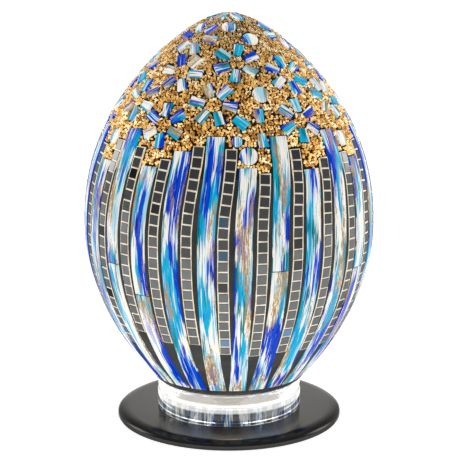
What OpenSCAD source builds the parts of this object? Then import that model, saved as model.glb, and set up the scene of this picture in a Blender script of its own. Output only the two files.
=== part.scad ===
// Mosaic glass table lamp: an egg-shaped glass shade, covered with glass strips, mirror columns,
// beads and petal flowers, that stands on a clear collar over a polished metal plate.
// Azimuths are in degrees from the front (-Y), positive towards +X. The rest surface is z = 0.

/* [Egg shade] */
// Largest outside radius of the mosaic egg
egg_radius = 100; // [90:1:110]
// Height of the widest part of the egg
egg_mid_z = 139; // [130:1:150]
// Height of the tip of the egg
egg_top_z = 283; // [265:1:300]
// Height of the lower edge of the mosaic
rim_z = 28.8; // [26:0.2:32]
// How much the upper half narrows towards its point
egg_point = 0.31; // [0:0.01:0.4]
// Power that draws the lower half in towards the rim
egg_tuck = 1.82; // [1.6:0.01:2]
// Thickness of the blown glass
glass_t = 3; // [2:0.1:4]

/* [Mosaic] */
// Number of glass strips, and of mirror columns between them
strip_count = 26; // [26:13:26]
// Azimuth of the first glass strip
strip_phase = -8.5; // [-12:0.1:7]
// Width of a glass strip
strip_w = 11.2; // [8:0.1:11.2]
// Thickness of the mosaic glass
tile_t = 1.6; // [1.2:0.1:2]
// Depth of the grout bed under the mosaic
bed_t = 1.6; // [1.2:0.1:2.4]
// Width of a mirror column
mirror_w = 6.2; // [4:0.1:6.2]
// Clear adhesive that shows on each side of a mirror column
joint_w = 0.6; // [0.3:0.1:0.6]
// Height where the field of beads begins
bead_z = 184; // [178:1:186]
// Outside radius of a petal flower
flower_r = 15.5; // [12:0.5:15.5]
// Length of a petal
petal_l = 9.6; // [7:0.1:10]

/* [Base] */
// Outside radius of the base plate
plate_r = 79; // [70:1:90]
// Height of the plate's flat top
plate_top = 6.5; // [6:0.5:10]
// Sheet thickness of the plate
plate_t = 1.4; // [1:0.1:1.6]
// Thickness of the felt under the plate
felt_t = 1; // [0.8:0.1:1.5]
// Outside radius of the clear collar
collar_r = 50.5; // [48:0.5:52]
// Height of the ledge on which the shade stands
ledge_z = 19.3; // [16:0.1:22]

/* [Lamp] */
// Outside radius of the small-screw lampholder
holder_r = 14.2; // [13:0.1:15]
// Height of the lampholder's open end
holder_top = 50; // [46:1:56]
// Diameter of the bulb's ball
bulb_d = 45; // [40:1:50]
// Height of the bulb from its tip contact to its crown
bulb_l = 78; // [72:1:84]

/* [Hidden] */
$fn = 96;
eps = 0.01;

// Egg outline
egg_rise = egg_top_z - egg_mid_z;
drop_ratio = 1.377;
egg_drop = (egg_mid_z - rim_z) * drop_ratio;
t_rim = -asin(1 / drop_ratio);
t_step = 0.5;
chord = 3;

// Mosaic layers, as depths below the egg's outside
glass_out = -(tile_t + bed_t);
glass_in = glass_out - glass_t;
bed_out = -tile_t;
bead_bed = bed_out - 1.2;
backing_t = 0.5;
pitch = 360 / strip_count;
half_turn = strip_count / 2;
slice = 12;

// Strip heights: tall and short ones alternate, and each half turn ends with a middle one
strip_tall_z = 211.2;
strip_mid_z = 202;
strip_short_z = 191;
// Top, foot, and sideways shift at mid-height of the mirror columns, the same on each half turn
columns = [[203.5, 67, -1.3], [188.4, 65, 0], [202, 66, 0.1], [195, 64.5, -0.4], [196, 65, 0.5],
           [201, 66, -0.6], [197, 72, 0.5], [203, 68, -1], [199, 70, 0.3], [204, 65, -0.5],
           [202, 78, 0.2], [196, 73, -0.1], [205, 74, -1.1]];
// Height of the joint in each strip that is laid in two lengths, else 0, the same on each half turn
strip_joints = [0, 0, 126, 0, 0, 118, 0, 141, 0, 0, 124, 106, 0];
// The bands sway a little to one side on their way up: [height, degrees for every band, share of a
// column's own shift]
sway = [[20, 1, 0], [60, 0, 0], [90, 0, 0.6], [120, 0, 1], [150, 0.1, 1], [165, 0.6, 0.8],
        [180, 1.6, 0.5], [195, 2.5, 0.2], [215, 3, 0]];
rim_band_h = 4.6;
t_band = t_rim + 2.4;

// Cap pieces repeated on each third: [azimuth, height, turn] of flowers and of lone petals, and
// [azimuth, height, radius] of round discs
thirds = [0, 120, 240];
flowers = [[-55, 230, 39], [-8, 230.5, 53], [-33.5, 248.5, 55], [6, 255, 22], [41.5, 246.5, 28],
           [-40, 269, 54]];
lone_petals = [[14.8, 223.5, 92], [5.5, 219.8, -38]];
discs = [[18, 236, 5.7], [25, 268.5, 5.4], [0, 276, 5]];
// Cap pieces low down, each fitted between the tops of the bands
low_flowers = [[-32, 217, 34.5], [36, 219.6, 24], [88, 217, 10], [156, 219.6, 24], [211.3, 221, 20],
               [276, 219, 40]];
low_petals = [[14.5, 208.6, -85]];
low_discs = [[8.2, 199.9, 5.8], [60, 204.8, 5.4], [3.5, 208.6, 3.5], [-62, 205.4, 5.4], [119.1, 199.4, 5.6],
             [215.9, 200, 5.6]];
petals = 6;
// Flower round the tip: height of its petals, and azimuth of the first
tip_flower = [281.3, 28];

// Neck of the glass and its seat on the collar
neck_in = 45.2;
neck_out = 50.2;
neck_top = rim_z + 0.2;
upstand_z = 25.5;
collar_in = 41.5;
seat_gap = 0.4;

// Base plate
lip_r = plate_r;
lip_straight = 1.8;
round_w = 9;
flange_w = 7;
plate_in = plate_top - plate_t;
slot_w = 5.6;
slot_h = 3.2;
grommet_w = 8.6;

// Threaded tube and fastenings (M10 x 1)
tube_r = 5;
tube_bore = 3.6;
tube_bottom = 1.8;
thread_gap = 0.05;
washer_t = 0.6;
nut_t = 2.3;
nut_across = 14;
seat_nut_t = 3;
holder_z = plate_top + seat_nut_t;

// Lampholder and bulb
holder_wall = 1.5;
cap_h = 12;
core_z = holder_z + cap_h - 1;
core_top = holder_top - 2;
socket_r = 7.3;
shell_t = 0.35;
socket_z = core_z + 11;
tip_z = socket_z + 0.9;
bulb_cap_r = 6.95;
bulb_cap_h = 17;
insulator_h = 2.2;
bulb_cap_z = tip_z + 1.2 + insulator_h;
bulb_glass_z = bulb_cap_z + bulb_cap_h;
bulb_top = tip_z + bulb_l;
bulb_mid = bulb_top - bulb_d / 2;
bulb_t = 0.8;

STRIPS = [for (k = [1:strip_count]) str("glass_strip_", k < 10 ? "0" : "", k)];

// ---- Egg outline: t runs from t_rim at the lower edge, through 0 at the widest part, to 90 ----

function egg_r(t) = t < 0 ? egg_radius * pow(cos(t), egg_tuck)
                          : egg_radius * cos(t) * (1 - egg_point * pow(sin(t), 3));
function egg_z(t) = egg_mid_z + (t < 0 ? egg_drop : egg_rise) * sin(t);
function egg_t(z) = asin((z - egg_mid_z) / (z < egg_mid_z ? egg_drop : egg_rise));
function egg_dr(t) = egg_r(t + t_step) - egg_r(t - t_step);
function egg_dz(t) = egg_z(t + t_step) - egg_z(t - t_step);
// Lean of the surface's normal above the horizontal
function egg_lean(t) = atan2(-egg_dr(t), egg_dz(t));
function egg_point_at(t, d) = [egg_r(t) + d * cos(egg_lean(t)), egg_z(t) + d * sin(egg_lean(t))];
// Every layer follows the same chords, a few degrees of t long, so layers that touch fit exactly
function on_chord(t, d) = let (i = floor(t / chord), s = t / chord - i)
    (1 - s) * egg_point_at(i * chord, d) + s * egg_point_at((i + 1) * chord, d);
function egg_curve(t0, t1, d) =
    concat([on_chord(t0, d)],
           [for (i = [floor((t0 + 0.02) / chord) + 1:ceil((t1 - 0.02) / chord) - 1])
               egg_point_at(i * chord, d)],
           [on_chord(t1, d)]);
function backwards(points) = [for (i = [len(points) - 1:-1:0]) points[i]];

module egg_layer(t0, t1, outer, inner) {
    polygon(concat(egg_curve(t0, t1, outer), backwards(egg_curve(t0, t1, inner))));
}

// Outline of a swaying band, w wide, as seen from outside; shift moves its middle sideways
function band_mid(s, shift) = egg_r(egg_t(s[0])) * sin(s[1]) + shift * s[2];
function band_outline(w, shift) = concat([for (s = sway) [band_mid(s, shift) + w / 2, s[0]]],
                                         backwards([for (s = sway) [band_mid(s, shift) - w / 2, s[0]]]));

// A band of the layer between two heights, w wide, centred on an azimuth
module upright_band(azimuth, z0, z1, w, outer, inner, shift = 0) {
    rotate([0, 0, azimuth - 90])
        intersection() {
            rotate([0, 0, -slice])
                rotate_extrude(angle = 2 * slice)
                    egg_layer(egg_t(z0), egg_t(z1), outer, inner);
            rotate([90, 0, 90])
                linear_extrude(egg_radius + 10)
                    polygon(band_outline(w, shift));
        }
}

// Puts its children on the grout bed, with their Z along the surface's normal and Y up the egg
module on_egg(azimuth, z, depth) {
    t = egg_t(z);
    p = egg_point_at(t, depth);
    rotate([0, 0, azimuth])
        translate([0, -p[0], p[1]])
            rotate([90 - egg_lean(t), 0, 0])
                children();
}

module hex_nut(across, h, bore) {
    difference() {
        cylinder(d = across / cos(30), h = h, $fn = 6);
        translate([0, 0, -eps])
            cylinder(r = bore, h = h + 2 * eps);
    }
}

module pipe(r_out, r_in, h) {
    difference() {
        cylinder(r = r_out, h = h);
        translate([0, 0, -eps])
            cylinder(r = r_in, h = h + 2 * eps);
    }
}

// ---- Base ----

module felt_pad() {
    color("dimgray")
        cylinder(r = plate_r - 0.8, h = felt_t);
}

// Pressed sheet dish: rolled-in flange, straight lip, rounded shoulder and a flat top
module base_plate() {
    shoulder = plate_top - felt_t - lip_straight;
    lip_top = felt_t + lip_straight;
    color([0.12, 0.12, 0.13])
        difference() {
            rotate_extrude()
                polygon(concat(
                    [[tube_r + thread_gap, plate_in], [tube_r + thread_gap, plate_top]],
                    [for (a = [90:-10:0]) [lip_r - round_w + round_w * cos(a), lip_top + shoulder * sin(a)]],
                    [[lip_r, felt_t], [lip_r - flange_w, felt_t], [lip_r - flange_w, felt_t + 1],
                     [lip_r - plate_t, felt_t + 1]],
                    [for (a = [0:10:90]) [lip_r - round_w + (round_w - plate_t) * cos(a),
                                          lip_top + (shoulder - plate_t) * sin(a)]]));
            cord_notch(grommet_w, felt_t - eps, plate_in);
        }
}

// Notch through the back of the lip, where the grommet sits
module cord_notch(w, z0, z1) {
    translate([-w / 2, plate_r - flange_w - 1, z0])
        cube([w, flange_w + 2, z1 - z0]);
}

module cord_grommet() {
    mid_z = (felt_t + plate_in) / 2;
    color("black")
        difference() {
            intersection() {
                cord_notch(grommet_w, felt_t, plate_in);
                translate([0, 0, felt_t])
                    pipe(plate_r + 0.8, plate_r - flange_w + 0.5, plate_in);
            }
            translate([0, plate_r + 3, mid_z])
                rotate([90, 0, 0])
                    flex_slot(flange_w + 6);
        }
}

// Slot for a flat two-core flex
module flex_slot(h) {
    end = (slot_w - slot_h) / 2;
    translate([-end, -slot_h / 2, 0])
        cube([2 * end, slot_h, h]);
    for (x = [-end, end])
        translate([x, 0, 0])
            cylinder(d = slot_h, h = h, $fn = 32);
}

module threaded_tube() {
    color("silver")
        translate([0, 0, tube_bottom])
            pipe(tube_r, tube_bore, holder_z + 6 - tube_bottom);
}

module lock_nut() {
    color("silver")
        translate([0, 0, plate_in - washer_t - nut_t])
            hex_nut(nut_across, nut_t, tube_r + thread_gap);
}

// Toothed washer
module lock_washer() {
    teeth = 12;
    color("gray")
        translate([0, 0, plate_in - washer_t])
            difference() {
                pipe(9.5, tube_r + thread_gap, washer_t);
                for (i = [0:teeth - 1])
                    rotate([0, 0, i * 360 / teeth])
                        translate([8, -0.6, -eps])
                            cube([3, 1.2, washer_t + 2 * eps]);
            }
}

module seat_nut() {
    color("silver")
        translate([0, 0, plate_top])
            hex_nut(nut_across, seat_nut_t, tube_r + thread_gap);
}

// Clear ring with a ledge for the shade's neck and an upstand that centres it
module clear_collar() {
    color([0.93, 0.93, 0.9, 0.5])
        rotate_extrude()
            polygon([[collar_in, plate_top], [collar_r, plate_top], [collar_r, ledge_z - 0.4],
                     [collar_r - 0.4, ledge_z], [neck_in - seat_gap, ledge_z],
                     [neck_in - seat_gap, upstand_z - 0.6], [neck_in - seat_gap - 0.6, upstand_z],
                     [collar_in, upstand_z]]);
}

// ---- Lampholder ----

module holder_cap() {
    color("gray")
        translate([0, 0, holder_z])
            rotate_extrude()
                polygon(concat(
                    [[tube_r + thread_gap, 0], [tube_r + 3, 0], [tube_r + 3, 1.5]],
                    [for (a = [0:15:90]) [holder_r - 4 + 4 * sin(a), 5.5 - 4 * cos(a)]],
                    [[holder_r, cap_h], [holder_r - holder_wall, cap_h], [holder_r - holder_wall, 5],
                     [tube_r + 3, 5], [tube_r + 3, 6.5], [tube_r + thread_gap, 6.5]]));
}

module holder_shell() {
    z0 = holder_z + cap_h;
    color("gray")
        translate([0, 0, z0])
            difference() {
                pipe(holder_r, holder_r - holder_wall, holder_top - z0);
                for (a = [0:20:340])
                    rotate([0, 0, a])
                        translate([holder_r, 0, 3])
                            cylinder(r = 0.5, h = holder_top - z0 - 6, $fn = 16);
            }
}

// Moulded core with the socket well above and two terminal pockets below
module holder_core() {
    core_r = holder_r - holder_wall - 0.1;
    color("white")
        difference() {
            translate([0, 0, core_z])
                cylinder(r = core_r, h = core_top - core_z);
            translate([0, 0, socket_z])
                cylinder(r = socket_r + shell_t + 0.05, h = core_top);
            for (s = [-1, 1])
                translate([s * 7, 0, core_z - eps])
                    cylinder(r = 2.6, h = 7);
        }
}

module socket_thread() {
    color("goldenrod")
        translate([0, 0, socket_z])
            pipe(socket_r + shell_t, socket_r, core_top - socket_z);
}

// Leaf that presses on the bulb's tip
module centre_contact() {
    color("goldenrod")
        translate([-4, -1.8, socket_z])
            cube([8, 3.6, tip_z - socket_z]);
}

module terminal_screws() {
    color("silver")
        for (s = [-1, 1])
            translate([s * 7, 0, core_z + 0.5]) {
                cylinder(r = 2.4, h = 1.8);
                translate([0, 0, 1.8])
                    cylinder(r = 1.25, h = 4.2);
            }
}

// ---- Bulb ----

module bulb_contact() {
    color("silver")
        translate([0, 0, tip_z])
            cylinder(r = 2.4, h = 1.2);
}

module bulb_insulator() {
    color("black")
        translate([0, 0, tip_z + 1.2])
            cylinder(r1 = 2.8, r2 = bulb_cap_r - 0.6, h = insulator_h);
}

module bulb_cap() {
    color("silver")
        translate([0, 0, bulb_cap_z])
            pipe(bulb_cap_r, bulb_cap_r - 0.35, bulb_cap_h);
}

// Radius of the bulb at a height: a ball that runs down into a neck
function bulb_r(z) = let (ball = pow(bulb_d / 2, 2) - pow(z - bulb_mid, 2),
                          s = (z - bulb_glass_z) / (bulb_mid - bulb_glass_z))
    z > bulb_mid ? sqrt(max(ball, 0))
                 : 7.6 + (bulb_d / 2 - 7.6) * pow(sin(90 * pow(s, 1.25)), 1.1);

module bulb_glass() {
    side = [for (i = [0:12]) let (z = bulb_glass_z + (bulb_mid - bulb_glass_z) * i / 12) [bulb_r(z), z]];
    ball_in = bulb_d / 2 - bulb_t;
    crown = [for (a = [10:10:90]) [bulb_d / 2 * cos(a), bulb_mid + bulb_d / 2 * sin(a)]];
    inner_crown = [for (a = [90:-10:0]) [ball_in * cos(a), bulb_mid + ball_in * sin(a)]];
    inner_side = [for (i = [11:-1:0]) let (z = bulb_glass_z + (bulb_mid - bulb_glass_z) * i / 12)
                  [bulb_r(z) - bulb_t, z]];
    neck_r = bulb_cap_r - 0.45;
    color([0.95, 0.95, 0.95, 0.4])
        rotate_extrude()
            polygon(concat([[neck_r - bulb_t, bulb_glass_z - 6], [neck_r, bulb_glass_z - 6],
                            [neck_r, bulb_glass_z]], side, crown, inner_crown, inner_side,
                           [[neck_r - bulb_t, bulb_glass_z]]));
}

module bulb_stem() {
    color([0.9, 0.9, 0.9, 0.5])
        translate([0, 0, bulb_glass_z - 5])
            rotate_extrude()
                polygon([[0, 0], [5, 0], [4.6, 4], [2, 9], [1.6, 30], [2.4, 33], [0, 34]]);
}

module bulb_filaments() {
    rods = 4;
    color("gold")
        for (i = [0:rods - 1])
            rotate([0, 0, 45 + i * 360 / rods])
                translate([5, 0, bulb_glass_z + 6])
                    rotate([0, 8, 0])
                        cylinder(r = 0.9, h = 30, $fn = 24);
}

// ---- Shade ----

// Blown glass egg with a thickened open neck
module shade_glass() {
    t_in = egg_t(rim_z + 4);
    t_out = egg_t(rim_z + 1.5);
    foot = egg_point_at(t_out, glass_out);
    color([0.9, 0.95, 1, 0.4])
        rotate_extrude()
            polygon(concat([[neck_in, ledge_z], [neck_out, ledge_z], [neck_out, neck_top],
                            [foot[0], neck_top]],
                           egg_curve(t_out, 90, glass_out),
                           backwards(egg_curve(t_in, 90, glass_in)),
                           [[neck_in, egg_z(t_in) + 2]]));
}

// Cement bed: flush under the strips, and deeper where the beads are set
module grout_bed() {
    t_bead = egg_t(bead_z);
    color([0.27, 0.27, 0.26])
        rotate_extrude()
            polygon(concat(egg_curve(t_band, t_bead, bed_out), egg_curve(t_bead, 90, bead_bed),
                           backwards(egg_curve(t_band, 90, glass_out))));
}

// Thick grout edging between the neck and the lower ends of the strips
module rim_band() {
    t_out = egg_t(rim_z + 1.5);
    foot = egg_point_at(t_out, glass_out);
    color([0.27, 0.27, 0.26])
        rotate_extrude()
            polygon(concat([[foot[0], neck_top], [egg_r(t_rim), neck_top]],
                           egg_curve(t_rim + 0.4, t_band, 0),
                           backwards(egg_curve(t_out, t_band, glass_out))));
}

module bead_cap() {
    color("goldenrod")
        rotate_extrude()
            egg_layer(egg_t(bead_z), 90, bed_out, bead_bed);
}

function strip_top(k) = let (j = k % half_turn)
    j == half_turn - 1 ? strip_mid_z
                       : (j % 2 == 0 ? strip_tall_z : strip_short_z) + 1.5 * sin(97 * k);
// A strip laid in two lengths has a joint at this height; 0 for a strip in one length
function strip_joint(k) = strip_joints[k % half_turn];

strip_colors = ["deepskyblue", "royalblue", "white", "teal"];

module glass_strip(k) {
    color(strip_colors[k % 4])
        difference() {
            upright_band(strip_phase + k * pitch, egg_z(t_band), strip_top(k), strip_w, 0, bed_out);
            if (strip_joint(k) > 0)
                rotate([0, 0, strip_phase + k * pitch])
                    translate([-strip_w, -egg_radius - 5, strip_joint(k)])
                        cube([2 * strip_w, 40, 0.6]);
        }
}

module mirror_backing() {
    color([0.96, 0.92, 0.82])
        for (k = [0:strip_count - 1])
            let (c = columns[k % half_turn])
                upright_band(strip_phase + (k + 0.5) * pitch, c[1] - joint_w, c[0] + joint_w,
                             mirror_w + 2 * joint_w, bed_out + backing_t, bed_out, c[2]);
}

module mirror_columns() {
    color([0.35, 0.37, 0.4])
        for (k = [0:strip_count - 1])
            let (c = columns[k % half_turn])
                upright_band(strip_phase + (k + 0.5) * pitch, c[1], c[0], mirror_w, 0,
                             bed_out + backing_t, c[2]);
}

// Tapered petal that points along +Y from the middle of its flower
module petal() {
    linear_extrude(tile_t)
        polygon([[-2.5, 0], [2.5, 0], [3.7, petal_l], [-3.7, petal_l]]);
}

// Every petal lies on the bed at its own middle, so it touches the surface there
module petals() {
    color("dodgerblue") {
        for (third = thirds) {
            for (f = flowers)
                flower(f[0] + third, f[1], f[2]);
            for (f = lone_petals)
                petal_at(f[0] + third, f[1], f[2], 0);
        }
        for (f = low_flowers)
            flower(f[0], f[1], f[2]);
        for (f = low_petals)
            petal_at(f[0], f[1], f[2], 0);
        for (i = [0:petals - 1])
            petal_at(tip_flower[1] + i * 360 / petals, tip_flower[0], -90, 0);
    }
}

module flower(azimuth, z, turn) {
    for (i = [0:petals - 1])
        petal_at(azimuth, z, turn + i * 360 / petals, flower_r - petal_l / 2);
}

// Steps from a flower's middle by a distance along the surface, then lays one petal there
module petal_at(azimuth, z, turn, reach) {
    t = egg_t(z);
    up = reach * sin(turn);
    z1 = z + up * cos(egg_lean(t + 3 * sign(up)));
    r1 = egg_r(egg_t(z1));
    on_egg(azimuth + asin(reach * cos(turn) / r1), z1, bed_out)
        rotate([0, 0, turn - 90])
            translate([0, -petal_l / 2, 0])
                petal();
}

module round_discs() {
    color("turquoise") {
        for (third = thirds)
            for (d = discs)
                round_disc(d[0] + third, d[1], d[2]);
        for (d = low_discs)
            round_disc(d[0], d[1], d[2]);
    }
}

module round_disc(azimuth, z, r) {
    on_egg(azimuth, z, bed_out)
        cylinder(r = r, h = tile_t, $fn = 48);
}

felt_pad();
base_plate();
cord_grommet();
lock_nut();
lock_washer();
threaded_tube();
seat_nut();
clear_collar();
holder_cap();
holder_shell();
holder_core();
socket_thread();
centre_contact();
terminal_screws();
bulb_cap();
bulb_insulator();
bulb_contact();
bulb_glass();
bulb_stem();
bulb_filaments();
shade_glass();
grout_bed();
rim_band();
bead_cap();
mirror_backing();
mirror_columns();
petals();
round_discs();
for (k = [0:strip_count - 1])
    glass_strip(k);
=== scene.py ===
"""Looks of the mosaic glass table lamp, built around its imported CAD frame. Metres, +Z up, front at -Y."""

import math
import random

import bpy
import numpy as np
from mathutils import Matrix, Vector


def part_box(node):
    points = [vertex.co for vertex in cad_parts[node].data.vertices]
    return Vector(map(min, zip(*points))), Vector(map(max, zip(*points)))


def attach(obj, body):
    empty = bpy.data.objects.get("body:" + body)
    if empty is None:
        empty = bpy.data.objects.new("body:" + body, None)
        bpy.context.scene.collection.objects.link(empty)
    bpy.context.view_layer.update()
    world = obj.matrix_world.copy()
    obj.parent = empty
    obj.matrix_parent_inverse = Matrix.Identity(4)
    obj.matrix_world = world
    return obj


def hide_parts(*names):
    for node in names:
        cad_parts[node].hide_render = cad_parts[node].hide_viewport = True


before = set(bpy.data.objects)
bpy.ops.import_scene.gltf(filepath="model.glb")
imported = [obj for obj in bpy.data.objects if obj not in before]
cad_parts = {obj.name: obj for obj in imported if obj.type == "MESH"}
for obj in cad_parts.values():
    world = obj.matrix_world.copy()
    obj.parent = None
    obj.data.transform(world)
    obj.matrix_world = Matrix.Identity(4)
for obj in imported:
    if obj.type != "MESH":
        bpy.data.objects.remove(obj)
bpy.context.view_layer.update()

MM = 0.001
SEED = 7

# ---- Egg outline, as in the CAD: t runs from its lower edge, through 0 at its widest, to 90 degrees ----

EGG_RADIUS = 100 * MM
EGG_MID_Z = 139 * MM
TILE_T = 1.6 * MM
RIM_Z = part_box("rim_band")[0].z - 0.2 * MM
EGG_TOP_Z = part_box("bead_cap")[1].z + TILE_T
EGG_POINT = 0.31
EGG_TUCK = 1.82
DROP_RATIO = 1.377
EGG_DROP = (EGG_MID_Z - RIM_Z) * DROP_RATIO
T_RIM = -math.degrees(math.asin(1 / DROP_RATIO))

# Places measured outwards from the egg's outside, so negative ones are depths
GLASS_OUT = -3.2 * MM
GLASS_IN = -6.2 * MM
GROUT_DEPTH = -0.6 * MM
BEAD_BED = -1.5 * MM
JOINT_DEPTH = -0.36 * MM

# Where the grout edging ends and the grout between the strips begins, in degrees of t
BAND_T = T_RIM + 2.4
# Height of the lowest beads
BEAD_Z = 187 * MM

# Bands of the mosaic: azimuth of the first strip, and how they sway sideways on their way up, as in the CAD
STRIP_PHASE = math.radians(-8.5)
SWAY_Z = np.array([20, 60, 90, 120, 150, 165, 180, 195, 215]) * MM
SWAY_TURN = np.radians([1, 0, 0, 0, 0.1, 0.6, 1.6, 2.5, 3])
SWAY_SHARE = [0, 0, 0.6, 1, 1, 0.8, 0.5, 0.2, 0]
# Heights between which the sideways shift of a mirror column is read from its corners
BELT_LOW = 116 * MM
BELT_HIGH = 154 * MM


def egg_rz(t):
    """Radius and height of the egg's outside at t, in degrees."""
    t = np.asarray(t, float)
    c = np.cos(np.radians(t))
    s = np.sin(np.radians(t))
    low = EGG_RADIUS * np.clip(c, 1e-9, None) ** EGG_TUCK
    high = EGG_RADIUS * c * (1 - EGG_POINT * s**3)
    rise = np.where(t < 0, EGG_DROP, EGG_TOP_Z - EGG_MID_Z)
    return np.where(t < 0, low, high), EGG_MID_Z + rise * s


def egg_lean(t):
    """Lean of the outside's normal above the horizontal, in radians."""
    t = np.asarray(t, float)
    r0, z0 = egg_rz(t - 0.5)
    r1, z1 = egg_rz(t + 0.5)
    return np.arctan2(r0 - r1, z1 - z0)


# The outline as a table: t, radius, height, and distance up the surface from the lower edge
T_GRID = np.linspace(T_RIM, 90, 2400)
R_GRID, Z_GRID = egg_rz(T_GRID)
S_GRID = np.concatenate([[0], np.cumsum(np.hypot(np.diff(R_GRID), np.diff(Z_GRID)))])


def t_at_z(z):
    return np.interp(z, Z_GRID, T_GRID)


def s_at_t(t):
    return np.interp(t, T_GRID, S_GRID)


def t_at_s(s):
    return np.interp(s, S_GRID, T_GRID)


def on_egg(azimuth, t, depth, aside=0.0):
    """Points at an azimuth in radians, t in degrees and a depth, moved aside by a straight distance."""
    r, z = egg_rz(t)
    lean = egg_lean(t)
    turn = azimuth + np.arcsin(np.clip(aside / np.maximum(r, 1e-6), -1, 1))
    reach = r + depth * np.cos(lean)
    return np.stack(np.broadcast_arrays(reach * np.sin(turn), -reach * np.cos(turn),
                                        z + depth * np.sin(lean)), -1)


def egg_basis(azimuth, t):
    """Unit vectors at a place on the egg: aside, up the egg, and outward."""
    lean = float(egg_lean(t))
    a = float(azimuth)
    out = Vector((math.cos(lean) * math.sin(a), -math.cos(lean) * math.cos(a), math.sin(lean)))
    aside = Vector((math.cos(a), math.sin(a), 0))
    return aside, out.cross(aside), out


# ---- Reading places from the CAD frame ----

STRIP_NODES = sorted(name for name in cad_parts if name.startswith("glass_strip_"))
STRIP_COUNT = len(STRIP_NODES)


def islands(node):
    """The separate solids of a CAD node, each as an array of its corners."""
    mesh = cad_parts[node].data
    points = np.array([v.co for v in mesh.vertices])
    keys = {}
    parent = []
    index = []
    for p in points:
        key = tuple(np.round(p / (0.01 * MM)).astype(int))
        if key not in keys:
            keys[key] = len(parent)
            parent.append(len(parent))
        index.append(keys[key])

    def find(i):
        while parent[i] != i:
            parent[i] = parent[parent[i]]
            i = parent[i]
        return i

    for face in mesh.polygons:
        ids = [find(index[v]) for v in face.vertices]
        for i in ids[1:]:
            parent[find(i)] = find(ids[0])
    groups = {}
    for i, p in zip(index, points):
        groups.setdefault(find(i), []).append(p)
    return [np.unique(np.round(g, 7), axis=0) for g in groups.values()]


class Band:
    """An upright band of the mosaic: its middle line and its two ends.

    half_pitch_on is 0 for a strip, and 0.5 for a mirror column, which stands half a pitch further round.
    """

    def __init__(self, corners, half_pitch_on):
        middle = corners.mean(0)
        pitch = 2 * math.pi / STRIP_COUNT
        k = round((math.atan2(middle[0], -middle[1]) - STRIP_PHASE) / pitch - half_pitch_on)
        self.azimuth = STRIP_PHASE + (k + half_pitch_on) * pitch
        self.index = k % STRIP_COUNT
        belt = corners[(corners[:, 2] > BELT_LOW) & (corners[:, 2] < BELT_HIGH)]
        across = belt @ np.array([math.cos(self.azimuth), math.sin(self.azimuth), 0])
        self.shift = float(across.max() + across.min()) / 2 if half_pitch_on and len(belt) > 3 else 0.0
        self.s0, self.s1 = (float(s_at_t(t_at_z(z))) for z in (corners[:, 2].min(), corners[:, 2].max()))

    def line(self, s):
        """Azimuth of the middle line at distances s up the egg."""
        z = np.interp(s, S_GRID, Z_GRID)
        r = np.interp(s, S_GRID, R_GRID)
        lead = self.shift * np.interp(z, SWAY_Z, SWAY_SHARE) / r
        return self.azimuth + np.interp(z, SWAY_Z, SWAY_TURN) + lead


def upright_bands(node, half_pitch_on=0.0):
    """Every upright band in a CAD node, from the front round."""
    bands = [Band(corners, half_pitch_on) for corners in islands(node)]
    return sorted(bands, key=lambda band: (band.index, band.s0))


# ---- Mesh helpers ----

def make_object(name, verts, faces, material, uv=None, smooth=True):
    """A mesh object with one material and, where uv is given, a streak map in millimetres."""
    mesh = bpy.data.meshes.new(name)
    mesh.from_pydata([tuple(v) for v in verts], [], faces)
    mesh.materials.append(material)
    mesh.polygons.foreach_set("use_smooth", [smooth] * len(mesh.polygons))
    if uv is not None:
        layer = mesh.uv_layers.new(name="streak")
        corner = np.empty(len(mesh.loops), np.int32)
        mesh.loops.foreach_get("vertex_index", corner)
        layer.data.foreach_set("uv", np.asarray(uv, np.float32)[corner].ravel())
    mesh.validate()
    mesh.update()
    obj = bpy.data.objects.new(name, mesh)
    bpy.context.scene.collection.objects.link(obj)
    return obj


def sharpen(obj, degrees=35):
    """Keeps a smooth-shaded piece crisp along edges that turn by more than an angle."""
    obj.data.set_sharp_from_angle(angle=math.radians(degrees))


class Parts:
    """Gathers many small pieces into one mesh."""

    def __init__(self):
        self.verts = []
        self.faces = []
        self.uv = []
        self.count = 0

    def add(self, verts, faces, uv):
        self.verts.append(np.asarray(verts, float))
        self.uv.append(np.asarray(uv, float))
        self.faces += [tuple(i + self.count for i in f) for f in faces]
        self.count += len(verts)

    def build(self, name, material):
        return make_object(name, np.concatenate(self.verts), self.faces, material,
                           np.concatenate(self.uv))


def loft(rows, ring):
    """Faces of a closed tube of rows, each a ring of points, with a cap at both ends."""
    faces = []
    for j in range(rows - 1):
        for i in range(ring):
            k = (i + 1) % ring
            faces.append((j * ring + i, j * ring + k, (j + 1) * ring + k, (j + 1) * ring + i))
    faces.append(tuple(reversed(range(ring))))
    faces.append(tuple((rows - 1) * ring + i for i in range(ring)))
    return faces


def closed_loft(rows, ring):
    """Faces of rows of points that are each a ring, the last row joined to the first."""
    faces = []
    for j in range(rows):
        for i in range(ring):
            k = (i + 1) % ring
            m = (j + 1) % rows
            faces.append((j * ring + i, j * ring + k, m * ring + k, m * ring + i))
    return faces


def revolve(name, outline, material, segments=192):
    """A solid of revolution from a closed outline of (radius, height); points on the axis become poles."""
    verts = []
    rings = []
    for r, z in outline:
        if r < 1e-7:
            rings.append([len(verts)] * segments)
            verts.append((0, 0, z))
            continue
        rings.append(list(range(len(verts), len(verts) + segments)))
        for k in range(segments):
            a = 2 * math.pi * k / segments
            verts.append((r * math.cos(a), r * math.sin(a), z))
    faces = []
    for j, low in enumerate(rings):
        high = rings[(j + 1) % len(rings)]
        if low[0] == low[1] and high[0] == high[1]:
            continue
        for k in range(segments):
            m = (k + 1) % segments
            face = dict.fromkeys((low[k], low[m], high[m], high[k]))
            faces.append(tuple(face))
    return make_object(name, verts, faces, material)


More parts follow.
